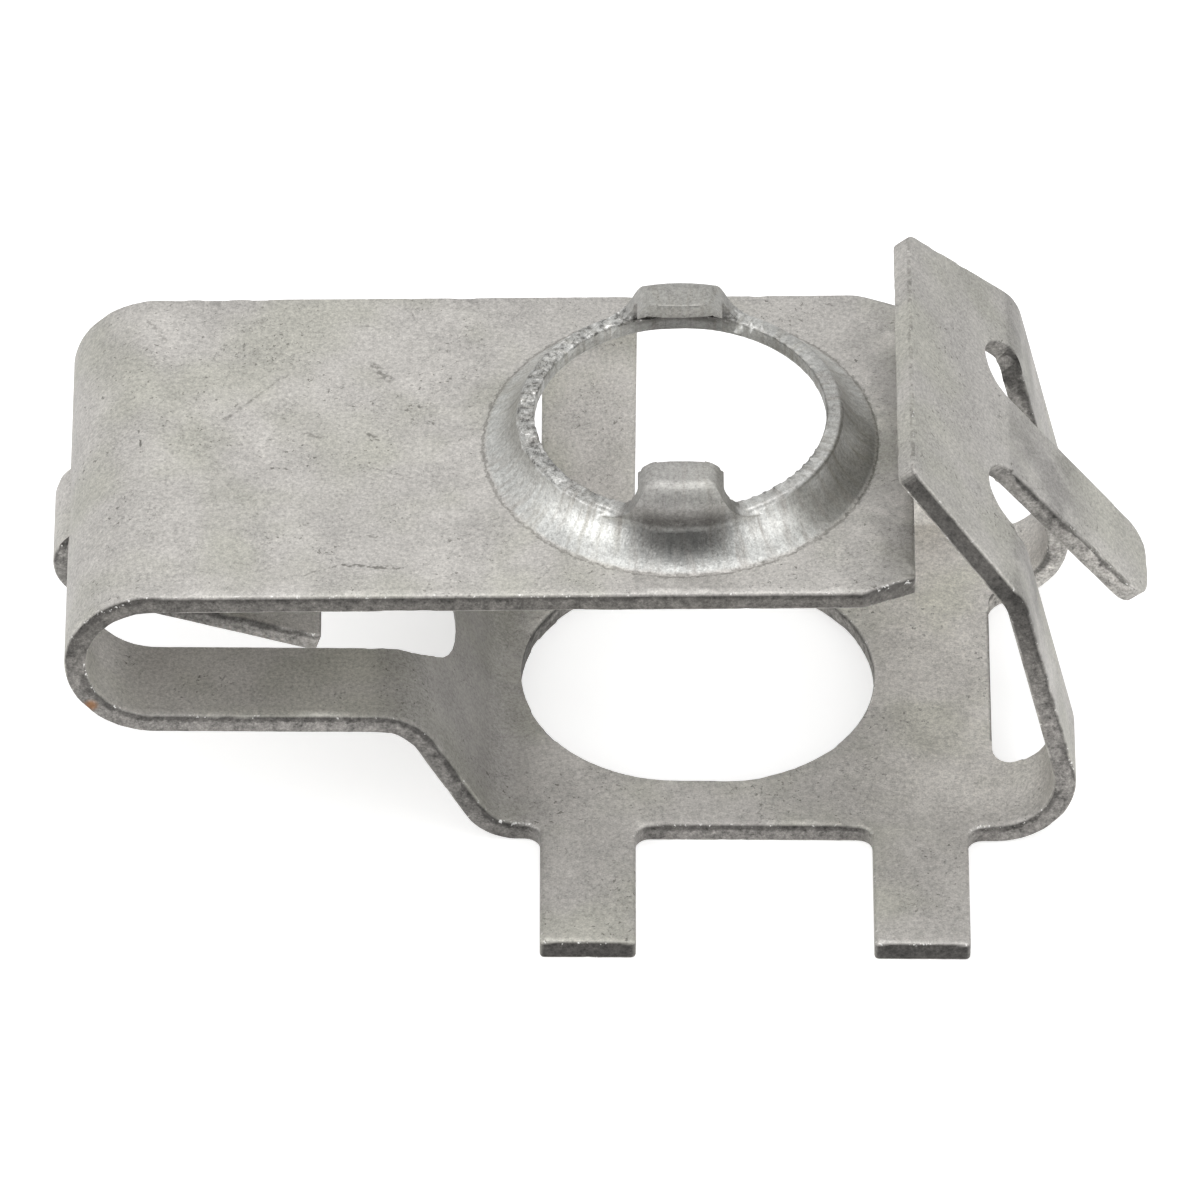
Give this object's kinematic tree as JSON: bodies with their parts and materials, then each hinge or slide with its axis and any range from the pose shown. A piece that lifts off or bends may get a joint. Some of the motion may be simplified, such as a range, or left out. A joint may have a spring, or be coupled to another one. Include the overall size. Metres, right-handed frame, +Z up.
{
  "type": "nut retainer clip",
  "caption": "Folded sheet-steel retainer that cages a loose nut under a drawn collar, with a spring tongue, bendable nut tabs and a locking prong.",
  "frame": {"origin": "on the bolt axis, in the middle of the collar's straight bore", "axes": "+X along the strip from the main bend to the wall, +Y across it towards the upright tabs, +Z up through the collar"},
  "size_m": [0.0505, 0.0301, 0.0211],
  "materials": {
    "zinc_steel": "dull zinc-grey plating, lightly scuffed"
  },
  "bodies": {
    "root": {"retainer": "zinc_steel"}
  },
  "joints": []
}
